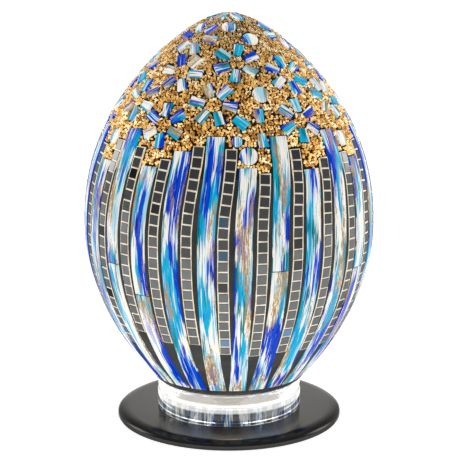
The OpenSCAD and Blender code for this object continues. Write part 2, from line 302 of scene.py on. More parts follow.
def wobble(x, seed, size):
    """A smooth hand-made unevenness along x, in metres, of about the given size."""
    rng = random.Random(seed)
    waves = (0.045, 0.019, 0.009)
    total = 0
    for wave in waves:
        total = total + np.sin(2 * math.pi * x / wave + rng.uniform(0, 6.28)) * wave
    return size * total / sum(waves)


def flat_prism(parts, centre, x_axis, y_axis, normal, outline, thick, bevel, uv_shift):
    """A flat tile with a bevelled upper edge. outline is counter-clockwise, in metres, about centre."""
    flat = np.array(outline)
    spread = np.linalg.eigh(np.cov(flat.T))[1]
    middle = flat.mean(0)
    inner = middle + (flat - middle) * (1 - bevel / np.abs(flat - middle).max(1).clip(1e-6)[:, None])
    levels = ((flat, -thick), (flat, -bevel), ((flat + inner) / 2, -0.3 * bevel), (inner, 0.0))
    verts = []
    uv = []
    for points, depth in levels:
        for x, y in points:
            verts.append(centre + x_axis * x + y_axis * y + normal * depth)
            across, along = np.array([x, y]) @ spread / MM
            uv.append((across + uv_shift[0], along + uv_shift[1]))
    parts.add([tuple(v) for v in verts], loft(len(levels), len(outline)), uv)


def egg_band(parts, line, s0, s1, width, top, bottom, edge, step, seed, uneven=0.0):
    """An upright band that follows the egg along a line, with bevelled edges and a closed back."""
    rows = max(3, int((s1 - s0) / step))
    s = np.concatenate([[s0, s0 + 0.4 * edge], np.linspace(s0 + edge, s1 - edge, rows),
                        [s1 - 0.4 * edge, s1]])
    drop = np.zeros(len(s))
    drop[[0, -1]] = edge
    drop[[1, -2]] = 0.3 * edge
    half = width / 2
    left = -half + wobble(s, seed, uneven)
    right = half + wobble(s, seed + 1, uneven)
    lift = wobble(s, seed + 2, 0.4 * uneven)
    t = t_at_s(s)
    azimuth = line(s)
    bevel = ((0.0, edge), (0.4 * edge, 0.3 * edge), (edge, 0.0))
    across = [(left + inset, fall) for inset, fall in bevel]
    across += [(left + (right - left) * share, 0.0) for share in (0.25, 0.5, 0.75)]
    across += [(right - inset, fall) for inset, fall in reversed(bevel)]
    columns = [(left, np.full(len(s), bottom))]
    columns += [(u, top + lift - np.maximum(fall, drop)) for u, fall in across]
    columns += [(right, np.full(len(s), bottom))]
    ring = len(columns)
    verts = np.zeros((len(s), ring, 3))
    uv = np.zeros((len(s), ring, 2))
    for i, (u, depth) in enumerate(columns):
        verts[:, i] = on_egg(azimuth, t, depth, u)
        uv[:, i, 0] = u / MM + 37.0 * seed
        uv[:, i, 1] = s / MM + 61.0 * seed
    parts.add(verts.reshape(-1, 3), loft(len(s), ring), uv.reshape(-1, 2))


# ---- Materials ----

def new_material(name):
    mat = bpy.data.materials.new(name)
    mat.use_nodes = True
    mat.node_tree.nodes.clear()
    return mat, Nodes(mat.node_tree)


class Nodes:
    """Short calls for building a node tree."""

    def __init__(self, tree):
        self.tree = tree

    def add(self, kind, **values):
        node = self.tree.nodes.new(kind)
        for key, value in values.items():
            setattr(node, key, value)
        return node

    def link(self, source, target):
        self.tree.links.new(source, target)

    def feed(self, socket, value):
        """Links an output to a socket, or sets the socket to a plain value."""
        if isinstance(value, bpy.types.NodeSocket):
            self.link(value, socket)
        else:
            socket.default_value = value

    def set(self, node, **values):
        for key, value in values.items():
            self.feed(node.inputs[key.replace("_", " ")], value)
        return node

    def math(self, operation, a, b=0.0, clamp=False):
        node = self.add("ShaderNodeMath", operation=operation, use_clamp=clamp)
        self.feed(node.inputs[0], a)
        self.feed(node.inputs[1], b)
        return node.outputs[0]

    def mix(self, factor, a, b):
        node = self.add("ShaderNodeMix", data_type="RGBA")
        self.feed(node.inputs[0], factor)
        self.feed(node.inputs[6], a)
        self.feed(node.inputs[7], b)
        return node.outputs[2]

    def ramp(self, value, stops):
        node = self.add("ShaderNodeValToRGB")
        elements = node.color_ramp.elements
        while len(elements) < len(stops):
            elements.new(0.5)
        for element, (place, colour) in zip(elements, stops):
            element.position = place
            element.color = (*colour[:3], 1)
        self.link(value, node.inputs[0])
        return node.outputs[0]

    def noise(self, vector, scale, detail=4.0, roughness=0.5, distortion=0.0):
        node = self.add("ShaderNodeTexNoise")
        self.set(node, Scale=scale, Detail=detail, Roughness=roughness, Distortion=distortion)
        self.link(vector, node.inputs["Vector"])
        return node.outputs["Fac"]

    def stretch(self, vector, x, y, shift=(0, 0, 0)):
        node = self.add("ShaderNodeMapping")
        node.inputs["Scale"].default_value = (x, y, 1)
        node.inputs["Location"].default_value = shift
        self.link(vector, node.inputs["Vector"])
        return node.outputs[0]

    def bump(self, height, distance, strength=1.0):
        node = self.add("ShaderNodeBump")
        node.inputs["Strength"].default_value = strength
        node.inputs["Distance"].default_value = distance
        self.link(height, node.inputs["Height"])
        return node.outputs[0]

    def output(self, shader):
        out = self.add("ShaderNodeOutputMaterial")
        self.link(shader, out.inputs["Surface"])

    def principled(self, **values):
        return self.set(self.add("ShaderNodeBsdfPrincipled"), **values)


def srgb(r, g, b):
    """Linear colour from 0-255 display values."""
    return tuple(((v / 255 + 0.055) / 1.055) ** 2.4 if v > 10 else v / 255 / 12.92 for v in (r, g, b))


def streaky_glass(name, glow):
    """Cream glass lit from behind, brushed lengthwise with coats of turquoise, blue, teal and gold.

    The streak map runs across and along each strip in millimetres, so every noise is stretched along it.
    """
    mat, n = new_material(name)
    uv = n.add("ShaderNodeUVMap", uv_map="streak").outputs[0]
    drag = n.noise(n.stretch(uv, 1.1, 0.018, shift=(5, 1, 0)), 1.0, 4, 0.6)
    bristle = n.noise(n.stretch(uv, 2.4, 0.05, shift=(9, 4, 0)), 1.0, 3, 0.65)
    rough = n.math("ADD", n.math("MULTIPLY", drag, 0.65), n.math("MULTIPLY", bristle, 0.35))
    ragged = n.math("SUBTRACT", rough, 0.5)

    def coat(under, paint, place, size, level, raggedness, soft, cover=1.0):
        """One coat of paint, where its own slow noise and the brush marks together pass a level."""
        where = n.noise(n.stretch(uv, *size, shift=place), 1.0, 2, 0.5)
        value = n.math("ADD", where, n.math("MULTIPLY", ragged, raggedness))
        edge = n.math("MULTIPLY", n.math("SUBTRACT", value, level), 1 / soft, True)
        return n.mix(n.math("MULTIPLY", edge, cover), under, paint)

    cream = n.ramp(rough, [(0.34, srgb(206, 226, 238)), (0.44, srgb(252, 250, 242)),
                           (0.56, srgb(252, 246, 232)), (0.66, srgb(246, 230, 204))])
    cyan = n.ramp(rough, [(0.38, srgb(0, 112, 192)), (0.47, srgb(0, 168, 218)), (0.60, srgb(30, 200, 226))])
    blue = n.ramp(rough, [(0.38, srgb(0, 14, 96)), (0.46, srgb(0, 46, 190)), (0.60, srgb(0, 92, 222))])
    teal = n.ramp(bristle, [(0.38, srgb(0, 50, 78)), (0.48, srgb(0, 122, 134)), (0.62, srgb(20, 172, 176))])
    aqua = (*srgb(150, 214, 234), 1)
    lilac = (*srgb(168, 166, 228), 1)
    white = (*srgb(250, 248, 242), 1)
    colour = coat(cream, aqua, (3, 7, 0), (0.14, 0.020), 0.55, 0.9, 0.03, 0.85)
    colour = coat(colour, lilac, (8, 2, 0), (0.16, 0.024), 0.60, 0.9, 0.03, 0.8)
    colour = coat(colour, cyan, (1, 5, 0), (0.11, 0.016), 0.515, 0.55, 0.02)
    colour = coat(colour, teal, (6, 9, 0), (0.17, 0.024), 0.590, 0.9, 0.02)
    colour = coat(colour, blue, (12, 3, 0), (0.12, 0.016), 0.545, 0.55, 0.02)
    colour = coat(colour, white, (15, 6, 0), (0.60, 0.014), 0.645, 0.6, 0.02, 0.9)
    flecks = n.noise(n.stretch(uv, 1.3, 0.15, shift=(11, 5, 0)), 1.0, 5, 0.8, 0.3)
    where = n.noise(n.stretch(uv, 0.13, 0.017, shift=(3, 9, 0)), 1.0, 2)
    near = n.math("MINIMUM", n.math("MULTIPLY", n.math("SUBTRACT", where, 0.535), 1.6), 0.11)
    gold = n.math("MULTIPLY", n.math("SUBTRACT", n.math("ADD", flecks, near), 0.570), 40.0, True)
    leaf = n.ramp(flecks, [(0.48, srgb(204, 166, 96)), (0.58, srgb(170, 126, 58)),
                           (0.68, srgb(84, 60, 32))])
    colour = n.mix(n.math("MULTIPLY", gold, 0.92), colour, leaf)
    paint = n.mix(0.5, colour, (0, 0, 0, 1))
    shader = n.principled(Base_Color=paint, Roughness=0.22, IOR=1.45, Emission_Color=colour,
                          Emission_Strength=glow, Specular_IOR_Level=0.12,
                          Normal=n.bump(n.noise(n.stretch(uv, 0.5, 0.12), 1.0, 3), 0.2 * MM, 0.5))
    n.output(shader.outputs[0])
    return mat


def mirror_material():
    """Smoked silver mirror, a little different from tile to tile, with faint clouding."""
    mat, n = new_material("smoked_mirror")
    place = n.add("ShaderNodeTexCoord").outputs["Object"]
    tile = n.add("ShaderNodeVectorMath", operation="FLOOR")
    n.link(n.stretch(n.add("ShaderNodeUVMap", uv_map="streak").outputs[0], 1 / TILE_KEY, 1 / TILE_KEY,
                     shift=(0.5, 0.5, 0)), tile.inputs[0])
    pick = n.add("ShaderNodeTexWhiteNoise", noise_dimensions="2D")
    n.link(tile.outputs[0], pick.inputs["Vector"])
    tone = n.ramp(pick.outputs["Value"], [
        (0.0, srgb(48, 48, 48)), (0.03, srgb(84, 85, 86)), (0.06, srgb(112, 113, 113)),
        (0.95, srgb(124, 126, 127)), (0.96, srgb(98, 128, 156)), (1.0, srgb(120, 150, 178))])
    cloud = n.ramp(n.noise(place, 160, 3), [(0.3, (0.86,) * 3), (0.7, (1.0,) * 3)])
    colour = n.add("ShaderNodeMix", data_type="RGBA", blend_type="MULTIPLY")
    colour.inputs[0].default_value = 1.0
    n.link(tone, colour.inputs[6])
    n.link(cloud, colour.inputs[7])
    roughness = n.ramp(n.noise(place, 420, 2), [(0.3, (0.08,) * 3), (0.8, (0.2,) * 3)])
    shader = n.principled(Base_Color=colour.outputs[2], Metallic=1.0, Roughness=roughness,
                          Specular_Tint=(0.5, 0.5, 0.5, 1))
    n.output(shader.outputs[0])
    return mat


def glowing_joint():
    """Clear adhesive around the mirror tiles, bright with the lamp's own light."""
    mat, n = new_material("glowing_joint")
    place = n.add("ShaderNodeTexCoord").outputs["Object"]
    colour = n.ramp(n.noise(place, 220, 3), [(0.3, srgb(214, 196, 160)), (0.65, srgb(250, 242, 222))])
    shader = n.principled(Base_Color=colour, Roughness=0.4, Emission_Color=colour, Emission_Strength=0.45)
    n.output(shader.outputs[0])
    return mat


def grout_material(name, dark, light):
    """Cement grout: fine sand grain and soft patches."""
    mat, n = new_material(name)
    place = n.add("ShaderNodeTexCoord").outputs["Object"]
    grain = n.noise(place, 2600, 4, 0.7)
    patches = n.noise(place, 60, 4, 0.6)
    value = n.math("ADD", n.math("MULTIPLY", grain, 0.55), n.math("MULTIPLY", patches, 0.45))
    colour = n.ramp(value, [(0.35, dark), (0.66, light)])
    shader = n.principled(Base_Color=colour, Roughness=0.92, Specular_IOR_Level=0.25,
                          Normal=n.bump(grain, 0.25 * MM, 0.8))
    n.output(shader.outputs[0])
    return mat


def bead_material():
    """Gold-lined glass seed beads, a little different from one to the next; the palest also serve as
    painted highlights, and all carry a painted glow that is strongest low down and fades towards the top.
    """
    mat, n = new_material("gold_bead")
    place = n.add("ShaderNodeTexCoord").outputs["Object"]
    cell = n.add("ShaderNodeTexVoronoi")
    n.set(cell, Scale=430.0)
    n.link(place, cell.inputs["Vector"])
    shade = n.add("ShaderNodeSeparateColor")
    n.link(cell.outputs["Color"], shade.inputs[0])
    # Bead colours differ at random, and the spread up to pale, near-white beads is partly painted highlight
    colour = n.ramp(shade.outputs[0], [(0.0, srgb(132, 88, 34)), (0.35, srgb(206, 154, 74)),
                                       (0.7, srgb(244, 200, 118)), (1.0, srgb(255, 242, 204))])
    height = n.add("ShaderNodeSeparateXYZ")
    n.link(place, height.inputs[0])
    above = n.math("SUBTRACT", height.outputs[2], BEAD_Z)
    # Painted glow: the beads shine by themselves, most on the lowest rows and hardly at all at the top
    lit = n.ramp(n.math("MULTIPLY", above, 1 / (EGG_TOP_Z - BEAD_Z), True),
                 [(0.0, (0.76,) * 3), (0.5, (0.52,) * 3), (0.8, (0.24,) * 3), (1.0, (0.02,) * 3)])
    shader = n.principled(Base_Color=colour, Metallic=0.9, Roughness=0.2, Coat_Weight=0.8,
                          Coat_Roughness=0.04, Emission_Color=colour, Emission_Strength=lit)
    n.output(shader.outputs[0])
    return mat


def clear_material(name, tint, roughness, glow, ior=1.49):
    """Clear glass or acrylic that lets lamp light through, with a faint painted glow that stands in for
    lamp light caught in it.
    """
    mat, n = new_material(name)
    body = n.principled(Base_Color=(*tint, 1), Roughness=roughness, IOR=ior, Transmission_Weight=1.0,
                        Emission_Color=(*srgb(255, 244, 226), 1), Emission_Strength=glow)
    n.output(shadow_free(n, body, tint))
    return mat


def shadow_free(n, body, tint):
    """Lets light pass through a clear shader, instead of leaving a dark shadow behind it."""
    through = n.set(n.add("ShaderNodeBsdfTransparent"), Color=(*tint, 1))
    path = n.add("ShaderNodeLightPath")
    blend = n.add("ShaderNodeMixShader")
    n.link(path.outputs["Is Shadow Ray"], blend.inputs[0])
    n.link(body.outputs[0], blend.inputs[1])
    n.link(through.outputs[0], blend.inputs[2])
    return blend.outputs[0]


def collar_material():
    """Clear acrylic that glows from the bulb, with a painted reflection of the glass strips as a streaky
    coloured band low down.
    """
    mat, n = new_material("clear_acrylic")
    place = n.add("ShaderNodeSeparateXYZ")
    n.link(n.add("ShaderNodeTexCoord").outputs["Object"], place.inputs[0])
    angle = n.math("ARCTAN2", place.outputs[0], n.math("MULTIPLY", place.outputs[1], -1.0))
    joined = n.add("ShaderNodeCombineXYZ")
    n.link(n.math("MULTIPLY", angle, 11.0), joined.inputs[0])
    n.link(n.math("MULTIPLY", place.outputs[2], 30.0), joined.inputs[1])
    # Painted reflection of the strips: coloured streaks with grey grout between them, drawn on the ring low
    # down
    paint = n.ramp(n.noise(joined.outputs[0], 1.0, 3, 0.6), [
        (0.36, srgb(30, 60, 190)), (0.425, srgb(50, 130, 180)), (0.445, srgb(246, 248, 246)),
        (0.555, srgb(250, 248, 240)), (0.57, srgb(30, 130, 150)), (0.63, srgb(40, 70, 170))])
    turns = n.math("MULTIPLY", angle, STRIP_COUNT / (2 * math.pi))
    strip = n.math("COMPARE", n.math("FRACT", n.math("ADD", turns, 0.6 + STRIP_COUNT)), 0.5)
    strip.node.inputs[2].default_value = 0.32
    painted_strip_reflection = n.mix(strip, (*srgb(88, 90, 86), 1), paint)
    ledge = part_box("shade_glass")[0].z
    # The painted reflection covers the ring up to a little under the ledge, and fades in over a short
    # height
    reflection_top = ledge - 3.2 * MM
    reflection_fade = 1.2 * MM
    low = n.math("MULTIPLY", n.math("SUBTRACT", reflection_top, place.outputs[2]), 1 / reflection_fade, True)
    colour = n.mix(low, (*srgb(255, 252, 246), 1), painted_strip_reflection)
    tint = n.mix(n.math("MULTIPLY", low, 0.6), (0.98, 0.98, 0.97, 1), painted_strip_reflection)
    above = n.math("MULTIPLY", n.math("SUBTRACT", place.outputs[2], ledge), 1 / MM, True)
    dimmer = n.math("ADD", n.math("MULTIPLY", above, 0.58), n.math("MULTIPLY", low, 0.39))
    glow = n.math("SUBTRACT", 0.60, dimmer)
    body = n.principled(Base_Color=tint, Roughness=0.0, IOR=1.49, Transmission_Weight=1.0,
                        Emission_Color=colour, Emission_Strength=glow)
    n.output(shadow_free(n, body, (0.98, 0.98, 0.97)))
    return mat


def plain_material(name, colour, roughness, metallic=0.0, grain=0.0, grain_scale=900.0, vary=0.12,
                   edge=1.0):
    """A moulded or machined surface with slight colour variation and grain."""
    mat, n = new_material(name)
    place = n.add("ShaderNodeTexCoord").outputs["Object"]
    patch = n.noise(place, 90, 3)
    low = tuple(c * (1 - vary) for c in colour)
    high = tuple(min(c * (1 + vary), 1) for c in colour)
    tone = n.ramp(patch, [(0.3, low), (0.7, high)])
    rough = n.ramp(n.noise(place, 300, 3), [(0.3, (roughness * 0.85,) * 3),
                                            (0.7, (min(roughness * 1.2, 1),) * 3)])
    shader = n.principled(Base_Color=tone, Metallic=metallic, Roughness=rough,
                          Specular_Tint=(edge, edge, edge, 1))
    if grain:
        n.link(n.bump(n.noise(place, grain_scale, 4), grain, 0.6), shader.inputs["Normal"])
    n.output(shader.outputs[0])
    return mat


def lit_material(name, colour, strength):
    """A part that shines by itself, with a slightly uneven coating."""
    mat, n = new_material(name)
    place = n.add("ShaderNodeTexCoord").outputs["Object"]
    tone = n.ramp(n.noise(place, 500, 3), [(0.3, tuple(0.85 * c for c in colour)), (0.7, colour)])
    shader = n.principled(Base_Color=tone, Roughness=0.4, Emission_Color=tone, Emission_Strength=strength)
    n.output(shader.outputs[0])
    return mat


def lining_material():
    """The egg seen from inside: clear glass over the backs of the strips, washed with warm light."""
    mat, n = new_material("lit_lining")
    place = n.add("ShaderNodeSeparateXYZ")
    n.link(n.add("ShaderNodeTexCoord").outputs["Object"], place.inputs[0])
    angle = n.math("ARCTAN2", place.outputs[0], place.outputs[1])
    turns = n.math("MULTIPLY", angle, STRIP_COUNT / (2 * math.pi))
    phase = n.math("FRACT", n.math("ADD", turns, 0.5 + STRIP_COUNT))
    strip = n.math("COMPARE", phase, 0.5)
    strip.node.inputs[2].default_value = 0.3
    joined = n.add("ShaderNodeCombineXYZ")
    n.link(n.math("MULTIPLY", angle, 30.0), joined.inputs[0])
    n.link(n.math("MULTIPLY", place.outputs[2], 12.0), joined.inputs[1])
    paint = n.ramp(n.noise(joined.outputs[0], 1.0, 4), [
        (0.36, srgb(30, 60, 190)), (0.45, srgb(60, 150, 200)), (0.5, srgb(235, 240, 245)),
        (0.58, srgb(90, 120, 210)), (0.66, srgb(20, 130, 150))])
    colour = n.mix(strip, (*srgb(70, 70, 74), 1), paint)
    shader = n.principled(Base_Color=colour, Roughness=0.15, Emission_Color=colour, Emission_Strength=1.6)
    n.output(shader.outputs[0])
    return mat


# ---- Camera, floor and light ----

def camera():
    """Product-shot camera, a little above the lamp."""
    data = bpy.data.cameras.new("camera")
    data.lens = 115.2
    data.sensor_width = 36.0
    data.clip_start = 0.01
    obj = bpy.data.objects.new("camera", data)
    bpy.context.scene.collection.objects.link(obj)
    eye = Vector((0.0007, -1.0, 0.355))
    target = Vector((0.0007, 0, 0.1327))
    obj.location = eye
    obj.rotation_euler = (target - eye).to_track_quat("-Z", "Y").to_euler()
    bpy.context.scene.camera = obj


def stage():
    """A pale floor that is brightly lit around and behind the lamp, and less so far in front of it."""
    mat, n = new_material("pale_floor")
    place = n.add("ShaderNodeTexCoord").outputs["Object"]
    spot = n.add("ShaderNodeSeparateXYZ")
    n.link(place, spot.inputs[0])
    dim_y = -0.62
    bright_y = -0.35
    near = n.math("MULTIPLY", n.math("SUBTRACT", spot.outputs[1], dim_y), 1 / (bright_y - dim_y), True)
    tone = n.ramp(n.noise(place, 3, 2), [(0.3, (0.90, 0.90, 0.90)), (0.7, (0.92, 0.92, 0.92))])
    shine = n.mix(near, (0.26, 0.26, 0.26, 1), tone)
    n.output(n.principled(Base_Color=(0.45, 0.45, 0.45, 1), Roughness=0.9, Specular_IOR_Level=0.1,
                          Emission_Color=shine, Emission_Strength=0.95).outputs[0])
    size = 12.0
    corners = [(-size, -size, 0), (size, -size, 0), (size, size, 0), (-size, size, 0)]
    make_object("floor", corners, [(0, 1, 2, 3)], mat, smooth=False)


def area_light(name, place, target, size, power):
    data = bpy.data.lights.new(name, "AREA")
    data.shape = "RECTANGLE"
    data.size, data.size_y = size
    data.energy = power
    obj = bpy.data.objects.new(name, data)
    bpy.context.scene.collection.objects.link(obj)
    obj.location = place
    obj.rotation_euler = (Vector(target) - Vector(place)).to_track_quat("-Z", "Y").to_euler()


def lights():
    """Three soft boxes round the lamp, and a warm light inside its bulb."""
    aim = (0, 0, 0.16)
    area_light("left_soft_box", (-1.8, 0.7, 0.9), aim, (1.0, 1.0), 9)
    area_light("right_soft_box", (1.8, 0.7, 0.9), aim, (1.0, 1.0), 9)
    area_light("top_soft_box", (0, 0.75, 1.9), aim, (1.2, 0.8), 7)
    glow = bpy.data.lights.new("bulb_light", "POINT")
    glow.energy = 1.2
    glow.shadow_soft_size = 18 * MM
    glow.color = (1.0, 0.93, 0.82)
    obj = bpy.data.objects.new("bulb_light", glow)
    bpy.context.scene.collection.objects.link(obj)
    obj.location = (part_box("bulb_glass")[0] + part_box("bulb_glass")[1]) / 2


def studio_world():
    """Dim walls, and behind the lamp a bright low backdrop that the mirror-like plate reflects."""
    world = bpy.data.worlds.new("studio")
    bpy.context.scene.world = world
    world.use_nodes = True
    n = Nodes(world.node_tree)
    back = world.node_tree.nodes["Background"]
    place = n.add("ShaderNodeSeparateXYZ")
    n.link(n.add("ShaderNodeTexCoord").outputs["Generated"], place.inputs[0])
    height = n.math("ADD", n.math("MULTIPLY", place.outputs[2], 0.5), 0.5)
    front = n.ramp(height, [(0.50, (0.42, 0.42, 0.42)), (0.56, (0.32, 0.32, 0.33)),
                            (0.75, (0.22, 0.22, 0.23)), (1.0, (0.34, 0.34, 0.35))])
    rear = n.ramp(height, [(0.50, (1.0, 1.0, 0.98)), (0.66, (1.0, 1.0, 0.98)),
                           (0.76, (0.40, 0.40, 0.41)), (1.0, (0.34, 0.34, 0.35))])
    side = n.math("ADD", n.math("MULTIPLY", place.outputs[1], 1.1), 0.15, True)
    behind = n.math("SUBTRACT", 1.0, n.math("MULTIPLY", n.math("ABSOLUTE", place.outputs[0]), 3.0), True)
    n.link(n.math("ADD", 0.9, n.math("MULTIPLY", n.math("MULTIPLY", behind, side), 1.9)), back.inputs[1])
    n.link(n.mix(side, front, rear), back.inputs[0])
    bpy.context.scene.view_settings.view_transform = "Standard"


# ---- Shade ----

STRIP_W = 11.2 * MM
MIRROR_W = 6.2 * MM
MIRROR_H = 6.0 * MM
TILE_GAP = 0.95 * MM
# Step of the streak map from one tile to the next, by which the mirror's material tells them apart
TILE_KEY = 50.0
# Adhesive that shows on each side of a mirror column
JOINT_W = 0.6 * MM
# Angle over which a bevel's edges stay crisp
CRISP = 24


def glass_strips(mat):
    """Each strip in its lengths, with ground edges that are not quite straight. Returns their places."""
    places = []
    for k, node in enumerate(STRIP_NODES):
        parts = Parts()
        for j, band in enumerate(upright_bands(node)):
            egg_band(parts, band.line, band.s0, band.s1, STRIP_W, 0.0, -1.5 * MM, 0.35 * MM, 2.2 * MM,
                     SEED + 3 * k + j, 0.13 * MM)
            places.append((band.line, band.s0, band.s1, STRIP_W))
        piece = parts.build("painted_strip" + node[-3:], mat)
        sharpen(piece, 50)
        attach(piece, "shade")
        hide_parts(node)
    return places


def mirror_tiles(tile_mat, joint_mat):
    """Square tiles, one by one up each column, over a glowing strip of adhesive. Returns their places."""
    rng = random.Random(SEED)
    tiles = Parts()
    joints = Parts()
    places = []
    for k, band in enumerate(upright_bands("mirror_columns", 0.5)):
        s0, s1 = band.s0, band.s1
        count = int((s1 - s0 + TILE_GAP) / (MIRROR_H + TILE_GAP))
        pitch = (s1 - s0 + TILE_GAP) / count
        for i in range(count):
            s = s0 + (i + 0.5) * pitch - 0.5 * TILE_GAP
            t = float(t_at_s(s))
            azimuth = float(band.line(s))
            up, out = egg_basis(azimuth, t)[1:]
            ahead = Vector(on_egg(float(band.line(s + MM)), float(t_at_s(s + MM)), 0.0))
            along = (ahead - Vector(on_egg(azimuth, t, 0.0))).normalized()
            aside = along.cross(out).normalized()
            tilt = rng.gauss(0, 0.012)
            roll = rng.gauss(0, 0.012)
            out = (out + aside * tilt + up * roll).normalized()
            aside = (aside - out * aside.dot(out)).normalized()
            up = out.cross(aside)
            half_w = MIRROR_W / 2 * rng.uniform(0.96, 1.0)
            half_h = (pitch - TILE_GAP) / 2 * rng.uniform(0.97, 1.02)
            outline = [(-half_w, -half_h), (half_w, -half_h), (half_w, half_h), (-half_w, half_h)]
            centre = Vector(on_egg(azimuth, t, -0.06 * MM)) + aside * rng.gauss(0, 0.12 * MM)
            flat_prism(tiles, centre, aside, up, out, outline, 1.0 * MM, 0.22 * MM,
                       (i * TILE_KEY, k * TILE_KEY))
        egg_band(joints, band.line, s0 - JOINT_W, s1 + JOINT_W, MIRROR_W + 2 * JOINT_W, JOINT_DEPTH,
                 -1.5 * MM, 0.15 * MM, 3 * MM, SEED + 200 + k, 0.05 * MM)
        places.append((band.line, s0 - JOINT_W, s1 + JOINT_W, MIRROR_W + 2 * JOINT_W))
    tiled = tiles.build("mirror_tiles", tile_mat)
    finish_piece(tiled, "shade", "mirror_tile", "mirror_columns")
    sharpen(tiled, CRISP)
    finish_piece(joints.build("mirror_joints", joint_mat), "shade", "cream_adhesive", "mirror_backing")
    return places


def finish_piece(piece, body, slot, *nodes):
    """Says which body a piece rides on and what it stands for; slot is not used."""
    sharpen(piece)
    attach(piece, body)
    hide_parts(*nodes)


def flat_places(node):
    """Middle, axes and outline corners of each flat solid in a CAD node, its outer face up."""
    for corners in islands(node):
        middle = corners.mean(0)
        azimuth = math.atan2(middle[0], -middle[1])
        t = float(t_at_z(middle[2]))
        for _ in range(2):
            aside, up, out = egg_basis(azimuth, t)
            t = float(t_at_z(middle[2] + 0.8 * MM * math.sin(float(egg_lean(t)))))
        basis = np.array([aside, up, out])
        local = (corners - middle) @ basis.T
        top = local[local[:, 2] > 0]
        hull = top[np.argsort(np.arctan2(top[:, 1], top[:, 0]))]
        yield middle, aside, up, out, hull[:, :2], top[:, 2].mean()


def flowers(mat):
    """Petals with ground edges, each turned and sized a little by hand."""
    rng = random.Random(SEED + 1)
    parts = Parts()
    places = []
    for middle, aside, up, out, outline, lift in flat_places("petals"):
        centre = Vector(middle) + out * lift
        places.append((np.array(centre), np.array(aside), np.array(up), outline))
        angle = rng.gauss(0, 0.07)
        size = rng.uniform(0.92, 1.03)
        turn = np.array([[math.cos(angle), math.sin(angle)], [-math.sin(angle), math.cos(angle)]])
        shape = outline @ turn * size + rng.gauss(0, 0.1 * MM)
        shift = (rng.uniform(0, 900), rng.uniform(0, 900))
        flat_prism(parts, centre, aside, up, out, [tuple(p) for p in shape], TILE_T, 0.3 * MM, shift)
    piece = parts.build("flower_petals", mat)
    finish_piece(piece, "shade", "glass_blue", "petals")
    sharpen(piece, CRISP)
    return places


def discs(mat):
    """Round glass nuggets, slightly domed."""
    rng = random.Random(SEED + 2)
    parts = Parts()
    places = []
    rings = 5
    sides = 36
    for middle, aside, up, out, outline, lift in flat_places("round_discs"):
        radius = np.linalg.norm(outline, axis=1).max()
        centre = Vector(middle) + out * lift
        places.append((np.array(centre), np.array(aside), np.array(up), outline))
        verts = []
        uv = []
        shift = (rng.uniform(0, 900), rng.uniform(0, 900))
        profile = [(1.0, -TILE_T)] + [(math.cos(a), 0.7 * MM * (math.sin(a) - 1))
                                      for a in np.linspace(0.25, 1.45, rings)]
        for share, height in profile:
            for i in range(sides):
                a = 2 * math.pi * i / sides
                x = radius * share * math.cos(a)
                y = radius * share * math.sin(a)
                verts.append(tuple(centre + aside * x + up * y + out * height))
                uv.append((x / MM + shift[0], y / MM + shift[1]))
        parts.add(verts, loft(len(profile), sides), uv)
    finish_piece(parts.build("glass_rounds", mat), "shade", "glass_turquoise", "round_discs")
    return places


def inside_flat(points, place, margin):
    """Which points lie over a flat piece's outline, grown by a margin."""
    centre, aside, up, outline = place
    local = points - centre
    x = local @ aside
    y = local @ up
    near = (x**2 + y**2 < (np.linalg.norm(outline, axis=1).max() + margin) ** 2) & (
        np.linalg.norm(local, axis=1) < 25 * MM)
    middle = outline.mean(0)
    inside = near.copy()
    for (x0, y0), (x1, y1) in zip(outline, np.roll(outline, -1, 0)):
        length = math.hypot(x1 - x0, y1 - y0)
        side = ((x1 - x0) * (y - y0) - (y1 - y0) * (x - x0)) / length
        facing = np.sign((x1 - x0) * (middle[1] - y0) - (y1 - y0) * (middle[0] - x0))
        inside &= side * facing > -margin
    return inside


BEAD_R = 1.02 * MM
# Step from one row of beads to the next, up the egg
BEAD_ROW = 1.72 * MM
# Room left between a strip's side and the middles of the beads beside it
BEAD_SIDE_GAP = 1.25 * MM
BEAD_SECTORS = 8


def bead_places(bands, flats):
    """Closely packed places for the beads, clear of every strip, column, petal and disc."""
    rng = np.random.default_rng(SEED)
    found = []
    s = float(s_at_t(t_at_z(BEAD_Z)))
    while s < S_GRID[-1] - 0.3 * MM:
        r = float(egg_rz(t_at_s(s))[0])
        count = max(1, int(2 * math.pi * r / (2.02 * BEAD_R)))
        a = 2 * math.pi * (np.arange(count) + rng.random()) / count
        a += rng.normal(0, 0.28 * MM, count) / max(r, 2 * MM)
        found.append(np.stack([a, s + rng.normal(0, 0.28 * MM, count)], 1))
        s += BEAD_ROW
    found = np.concatenate(found)
    a, s = found.T
    a = (a + math.pi) % (2 * math.pi) - math.pi
    t = t_at_s(s)
    points = on_egg(a, t, -0.9 * MM)
    keep = rng.random(len(a)) > 0.02
    margin = 0.75 * BEAD_R
    r = egg_rz(t)[0]
    for line, s0, s1, width in bands:
        gap = (a - line(s) + math.pi) % (2 * math.pi) - math.pi
        beside = np.abs(r * np.sin(gap)) < width / 2 + BEAD_SIDE_GAP
        keep &= ~(beside & (np.abs(gap) < 0.6) & (s > s0 - margin) & (s < s1 + margin))
    for place in flats:
        keep &= ~inside_flat(points, place, 0.8 * margin)
    return a[keep], t[keep], rng


